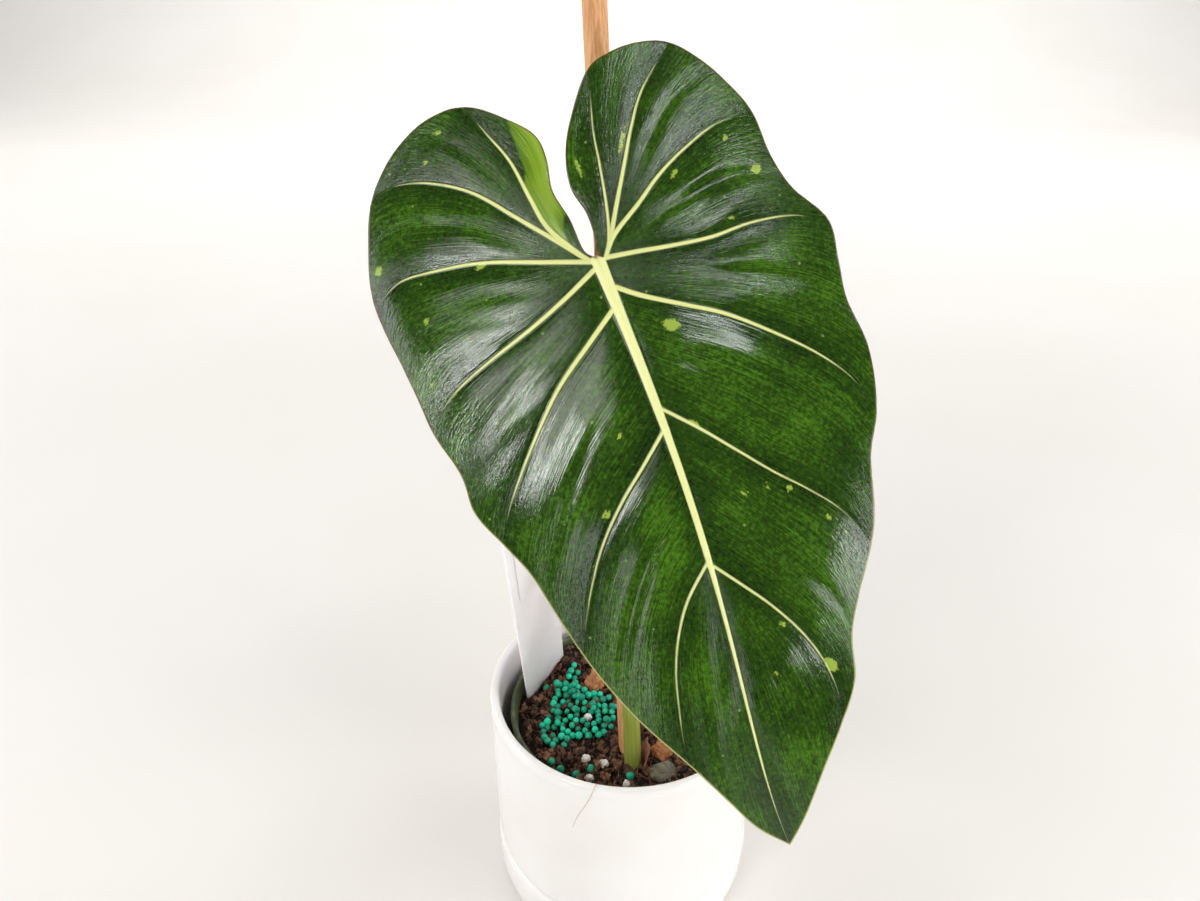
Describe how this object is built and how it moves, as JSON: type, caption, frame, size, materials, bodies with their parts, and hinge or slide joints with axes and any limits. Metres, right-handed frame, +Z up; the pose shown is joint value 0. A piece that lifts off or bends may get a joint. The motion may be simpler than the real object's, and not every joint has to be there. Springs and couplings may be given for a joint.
{
  "type": "potted glorimax philodendron",
  "caption": "Potted philodendron with a large heart-shaped leaf, wooden stake and blank label, in a nursery pot inside a white glazed pot with deep saucer.",
  "frame": {"origin": "middle of the saucer's underside, on the surface that the plant stands on", "axes": "+Z up along the pot's axis; the leaf faces -Y and its tip hangs towards -Y; +X to the right as seen from the front"},
  "size_m": [0.1473, 0.1773, 0.4171],
  "materials": {
    "glaze": "white satin glaze",
    "nursery_plastic": "dark green-grey thin moulded plastic",
    "potting_mix": "damp coir, peat and bark",
    "granule": "teal coated prills, slightly glossy",
    "bark": "rough orange-brown bark",
    "perlite": "white expanded mineral, rough",
    "rhizome": "grey-green old stem, cut dry end",
    "sheath": "dry reddish-brown papery scale",
    "petiole": "smooth olive green plant stem",
    "leaf": "glossy dark green leaf with pale raised veins",
    "stake_wood": "bare round wooden rod, sanded",
    "label_plastic": "white flexible plastic tag",
    "label_paper": "white paper sticker, blank"
  },
  "bodies": {
    "root": {"saucer": "glaze", "pot": "glaze", "nursery_pot": "nursery_plastic", "potting_mix": "potting_mix", "fertiliser_granules": "granule", "stray_granule_1": "granule", "stray_granule_2": "granule", "stray_granule_3": "granule", "stray_granule_4": "granule", "stray_granule_5": "granule", "stray_granule_6": "granule", "bark_chunk_1": "bark", "bark_chunk_2": "bark", "perlite_1": "perlite", "perlite_2": "perlite", "perlite_3": "perlite", "perlite_4": "perlite", "perlite_5": "perlite", "rhizome": "rhizome", "dry_sheath": "sheath", "petiole": "petiole", "leaf_blade": "leaf", "support_stake": "stake_wood", "plant_label": "label_plastic", "label_sticker": "label_paper"}
  },
  "joints": []
}
